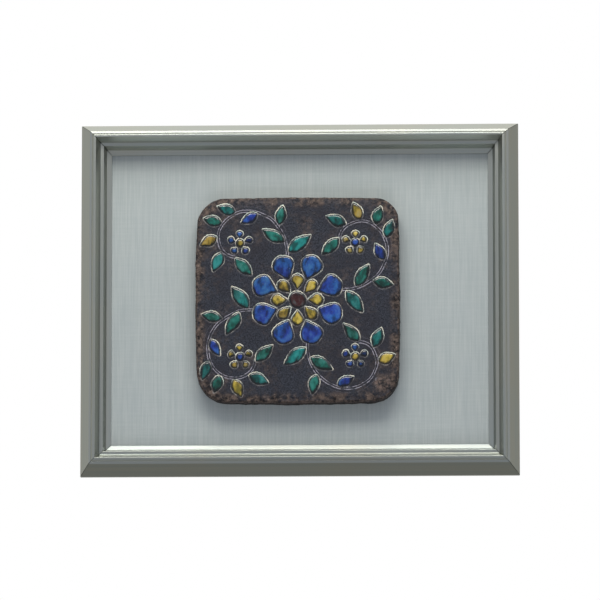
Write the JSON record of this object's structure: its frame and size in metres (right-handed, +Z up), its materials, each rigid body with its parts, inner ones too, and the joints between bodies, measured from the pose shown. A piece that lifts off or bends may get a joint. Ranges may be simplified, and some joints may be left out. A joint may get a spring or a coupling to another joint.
{
  "type": "framed ceramic wall plaque",
  "caption": "Rounded square ceramic tile with a raised enamel flower vine, on a linen-covered board in a deep stepped metal frame that hangs flat on a wall.",
  "frame": {"origin": "on the wall plane, at the middle of the top rail's back lip", "axes": "+Z up, +Y into the wall, +X to the right as seen from the front; the plaque faces -Y"},
  "size_m": [0.3854, 0.0294, 0.3124],
  "materials": {
    "frame_metal": "satin silver-grey anodised aluminium with a fine hairline along each rail",
    "board_linen": "pale blue-grey linen bonded to a stiff board",
    "fired_clay": "matt dark fired clay with pale incised lines and glossy teal, blue and yellow enamel"
  },
  "bodies": {
    "root": {"frame_rail_top": "frame_metal", "frame_rail_bottom": "frame_metal", "frame_rail_left": "frame_metal", "frame_rail_right": "frame_metal", "cloth_covered_board": "board_linen", "ceramic_tile": "fired_clay"}
  },
  "joints": []
}
